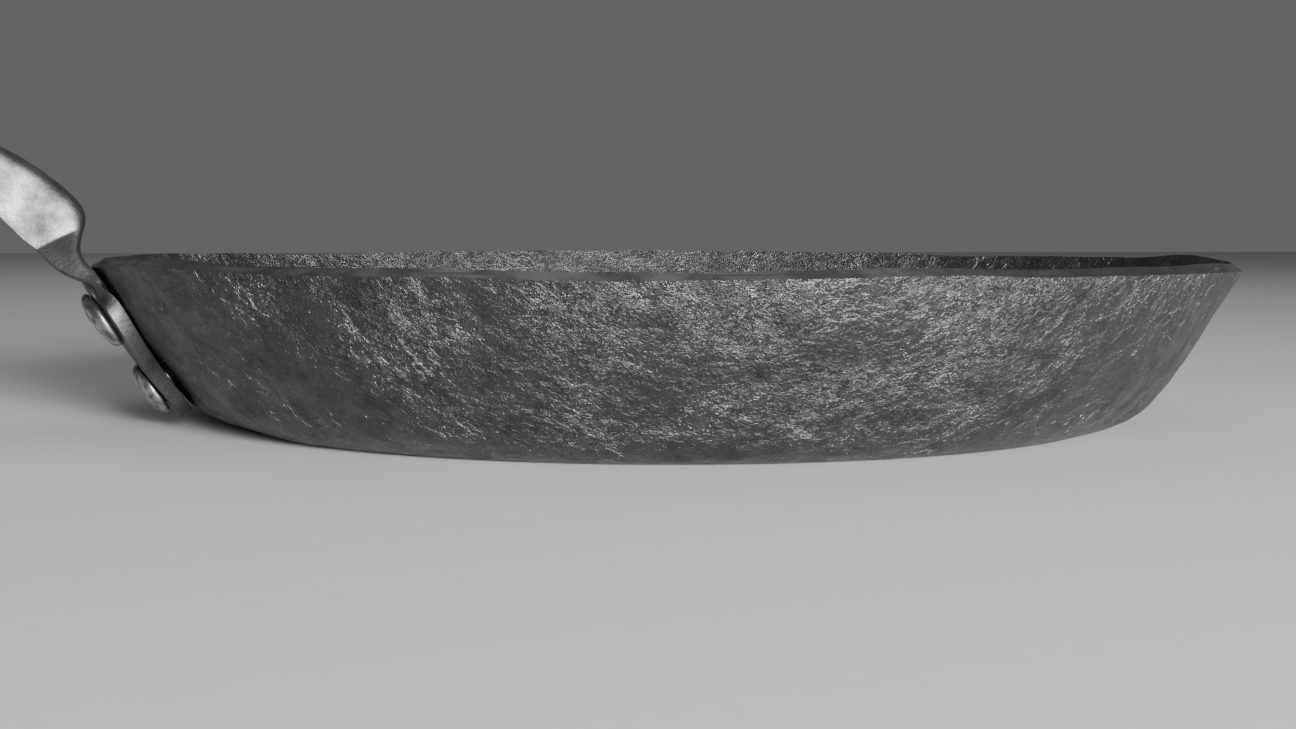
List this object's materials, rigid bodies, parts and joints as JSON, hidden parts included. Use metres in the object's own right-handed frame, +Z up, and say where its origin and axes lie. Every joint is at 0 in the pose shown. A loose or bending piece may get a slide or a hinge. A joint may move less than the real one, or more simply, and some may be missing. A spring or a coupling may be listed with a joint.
{
  "type": "frying pan",
  "caption": "Round hammered steel frying pan with sloping walls and a riveted channel handle that ends in a hanging hole.",
  "frame": {"origin": "centre of the base's underside, on the surface that the pan stands on", "axes": "+Z up along the pan's centre line; -X along the handle, from the pan towards the hanging hole"},
  "size_m": [0.5053, 0.2786, 0.112],
  "materials": {
    "hammered_steel": "hammered, blued and seasoned, semi-gloss",
    "handle_steel": "scrubbed forge finish, satin",
    "rivet_steel": "hammered flat, worn bright on the edges"
  },
  "bodies": {
    "root": {"pan_body": "hammered_steel", "handle": "handle_steel", "rivet_upper_left": "rivet_steel", "rivet_upper_right": "rivet_steel", "rivet_lower": "rivet_steel"}
  },
  "joints": []
}
